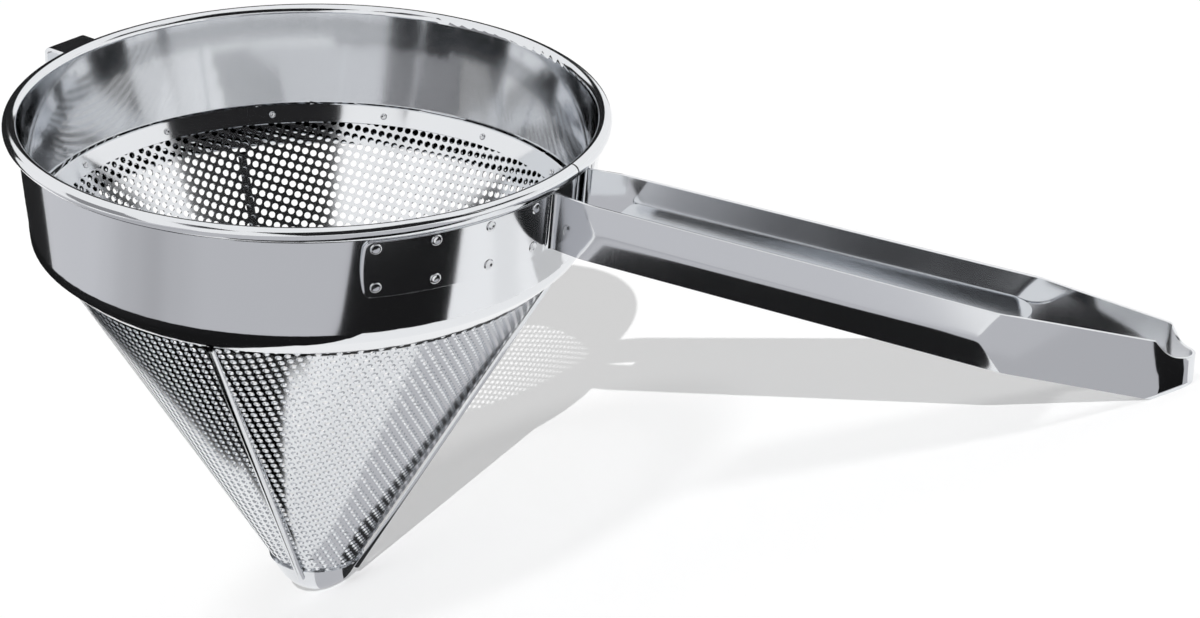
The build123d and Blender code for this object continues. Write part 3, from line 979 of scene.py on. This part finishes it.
sunny_lamp("key_lamp", lamp_azimuth, elevation=24, softness=0.3, light_share=0.46)
sunny_lamp("fill_lamp", lamp_azimuth, elevation=72, softness=12.0, light_share=0.12)
print("lamps:", sorted(lamp.name for lamp in bpy.data.lights))

# %% [markdown]
# ## Boards that only mirrors see
# Polished steel looks like whatever stands round it. In a white studio it would be white, so a photographer
# stands black and grey boards where the steel mirrors them. Here they are glowing cards that paint the dark
# and grey reflections on the steel: some stand in for the table's shade under and beside the strainer, and
# strips close under the band's hip paint a dark band and a white band of reflection on it. Each board was
# placed by following the sight lines from the lens to the steel and on to the table or the sky. Only mirror
# rays see them, so they never cross a picture taken from another side.

# %% Making a board
board_distance = 1600
board_foot = 100
board_tint = 1.04
hip_clearance = 1.4 * MM
hip_steps, standing_steps = 12, 8


def cool_grey(level):
    """Grey with a slightly cool tint."""
    return level, level, min(level * board_tint, 1), 1


def board(name, corners, faces, level):
    """Board of one grey, seen by mirrors only, from corners in mm."""
    material = matt_material(name, 0, cool_grey(level))
    material.node_tree.nodes["Principled BSDF"].inputs["Emission Strength"].default_value = 1.0
    card = staged(name, [tuple(c * MM for c in corner) for corner in corners], faces, material)
    for ray in ("camera", "diffuse", "shadow", "transmission", "volume_scatter"):
        setattr(card, "visible_" + ray, False)


def strip_board(name, columns, level):
    """Board of a strip of faces, from the two corners of each of its columns."""
    corners = [corner for column in columns for corner in column]
    board(name, corners, [(2 * i, 2 * i + 2, 2 * i + 3, 2 * i + 1) for i in range(len(columns) - 1)], level)


def floor_board(name, outline, height, level):
    """Board that lies on the table."""
    board(name, [(x, y, height) for x, y in outline], [tuple(range(len(outline)))], level)


def between(ends, i, steps):
    """Value at one of some even steps from the first of two ends to the second."""
    return ends[0] + (ends[1] - ends[0]) * i / steps


def standing_board(name, azimuths, elevations, level):
    """Curved board round the strainer, between two azimuths and two elevations in degrees."""
    turns = [radians(between(azimuths, i, standing_steps)) for i in range(standing_steps + 1)]
    strip_board(name, [[(board_distance * cos(turn), board_distance * sin(turn),
                         board_foot + board_distance * tan(radians(rise))) for rise in elevations]
                       for turn in turns], level)


def hip_corner(turn, drop):
    """Corner in mm of a board close under the band's hip, at an azimuth and a drop below the hip."""
    radius = wall_outer(hip_depth) + hip_clearance - drop
    return tuple(c / MM for c in LEAN @ Vector((radius * cos(turn), radius * sin(turn), -hip_depth - drop)))


def hip_board(name, azimuths, start_drops, end_drops, level):
    """Strip that stands close under the band's hip, between two azimuths on the cone in degrees."""
    strip_board(name, [[hip_corner(radians(between(azimuths, i, hip_steps)), between(drops, i, hip_steps) * MM)
                        for drops in zip(start_drops, end_drops)] for i in range(hip_steps + 1)], level)


def shade_across(name, stops):
    """Lets a board's level change smoothly across the table, from stops of a place in mm and a level."""
    tree = bpy.data.materials[name].node_tree
    place = tree.nodes.new("ShaderNodeTexCoord").outputs["Object"]
    first, last = stops[0][0], stops[-1][0]
    along = node_out(tree, "ShaderNodeMapRange", {"Value": split_vector(tree, place)["X"],
                                                  "From Min": first * MM, "From Max": last * MM})
    ramp = add_node(tree, "ShaderNodeValToRGB", {"Fac": along})
    ramp.color_ramp.interpolation = "EASE"
    marks = ramp.color_ramp.elements
    while len(marks) < len(stops):
        marks.new(0.5)
    for mark, stop in zip(marks, stops):
        mark.position = (stop[0] - first) / (last - first)
    # Marks sort themselves by place, so their levels wait until every place is set.
    for mark, stop in zip(marks, stops):
        mark.color = cool_grey(stop[1])
    tree.links.new(ramp.outputs["Color"], tree.nodes["Principled BSDF"].inputs["Emission Color"])


# %% Boards on the table
floor_board("front_board", [(-12, -208), (140, -165), (185, -175), (215, -120), (262, -60), (250, -35),
                            (165, -57), (110, -80), (60, -103), (-12, -146)], 1, 0.012)
floor_board("back_board", [(48, -97), (40, -78), (22, -82), (6, -68), (-4, -52), (-11, -38), (-8, -18),
                           (-28, -34), (-60, -45), (-100, -28), (-150, -8), (-210, 25), (-270, 70),
                           (-330, 130), (-400, 215), (-480, 330), (-560, 330), (-430, 100), (-320, 0),
                           (-220, -80), (-110, -125)], 1, 0.0)
# The grey board is painted shade: it stands in for the table's shade in front of and beside the strainer as
# the steel mirrors it, and its level changes across the table.
floor_board("grey_board", [(-2000, 120), (-330, 20), (-110, -130), (0, -205), (140, -165), (185, -175),
                           (215, -120), (262, -60), (1500, -400), (1500, -3000), (-2000, -3000)], 0.5, 0.5)
shade_across("grey_board", [(-1800, 0.64), (-1200, 0.6), (-600, 0.51), (-350, 0.46), (-200, 0.52),
                            (-50, 0.565)])
floor_board("end_board", [(262, -62), (275, -25), (300, -12), (327, -2), (345, -3), (350, -95)], 1, 0.5)
floor_board("nose_board", [(333, -45), (334, -25), (333, -14), (330, -9), (327, -6), (334, -3), (341, -7),
                           (346, -16), (352, -45)], 1.2, 0.01)
# The under board is painted shade: the table's shadow under the bowl as the steel mirrors it.
floor_board("under_board", [(2, -20), (104, -20), (104, 40), (60, 160), (-20, 300), (-80, 300), (-10, 20)],
            0.8, 0.55)
floor_board("edge_board", [(2, 2), (14, -7), (28, -3), (42, 12), (54, 35), (61, 62), (60, 95), (46, 132),
                           (24, 166), (-8, 206), (-55, 252), (-75, 222), (-20, 165), (15, 120), (32, 82),
                           (38, 55), (30, 30), (15, 14)], 1.1, 0.03)

# %% Boards that stand round it
above_steps = (-84.5, -80, -77.5, -74.5, -64)
above_levels = (0.34, 0.18, 0.08, 0.04)
for part, level in enumerate(above_levels):
    standing_board(f"above_{part + 1}_board", above_steps[part:part + 2], (40, 66), level)
# These strips lie close under the band's hip and paint its reflection: a dark band along one part of the hip
# and a white band along the rest, with a tapered change between them.
hip_top, hip_low = -1.0, 9.8
whole_hip = (hip_top, hip_low)
hip_board("hip_dark_board", (-150, -80), whole_hip, whole_hip, 0.01)
hip_board("hip_wedge_board", (-80, -50), whole_hip, (hip_top, hip_top), 0.01)
hip_board("hip_rising_board", (-80, -50), (hip_low, hip_low), whole_hip, 1.0)
hip_board("hip_light_board", (-50, 40), whole_hip, whole_hip, 1.0)
standing_board("lens_board", (-57, 8), (3, 44), 0.02)
standing_board("right_board", (10, 31), (12, 27), 0.03)
standing_board("back_left_board", (96.5, 170), (-3.5, 44), 0.02)
standing_board("far_left_board", (170.5, 210), (-3.5, 3), 0.64)
standing_board("left_board", (-150, -115), (8, 44), 0.3)
standing_board("low_left_board", (-128, -98), (-3.5, 7), 0.62)

# %% [markdown]
# ## The camera
# The place of the lens was worked out from the strainer itself: the rim is a true circle, and its
# outline in the picture, with the straight lines of the handle, fixes the distance and direction.

# %% Camera
camera_place = (0.77566, -0.96122, 0.31938)
camera_focal_pixels = 3574.71
frame_width_pixels = 1200
frame_height_pixels = 618
centre_column = 598.83
centre_row = 309.25
camera_turn = (radians(76.769), radians(22.608), radians(27.936))
camera_data = bpy.data.cameras.new("camera")
camera = bpy.data.objects.new("camera", camera_data)
bpy.context.scene.collection.objects.link(camera)
camera_data.sensor_fit = "HORIZONTAL"
camera_data.sensor_width = 36
camera_data.lens = camera_focal_pixels / frame_width_pixels * camera_data.sensor_width
camera_data.shift_x = (frame_width_pixels / 2 - centre_column) / frame_width_pixels
camera_data.shift_y = (centre_row - frame_height_pixels / 2) / frame_width_pixels
camera_data.clip_end = 50
camera.location = camera_place
camera.rotation_euler = camera_turn
bpy.context.scene.camera = camera
bpy.context.scene.view_settings.view_transform = "Standard"
print("lens", [round(c, 3) for c in camera_place], "focal length", round(camera_data.lens, 1), "mm")
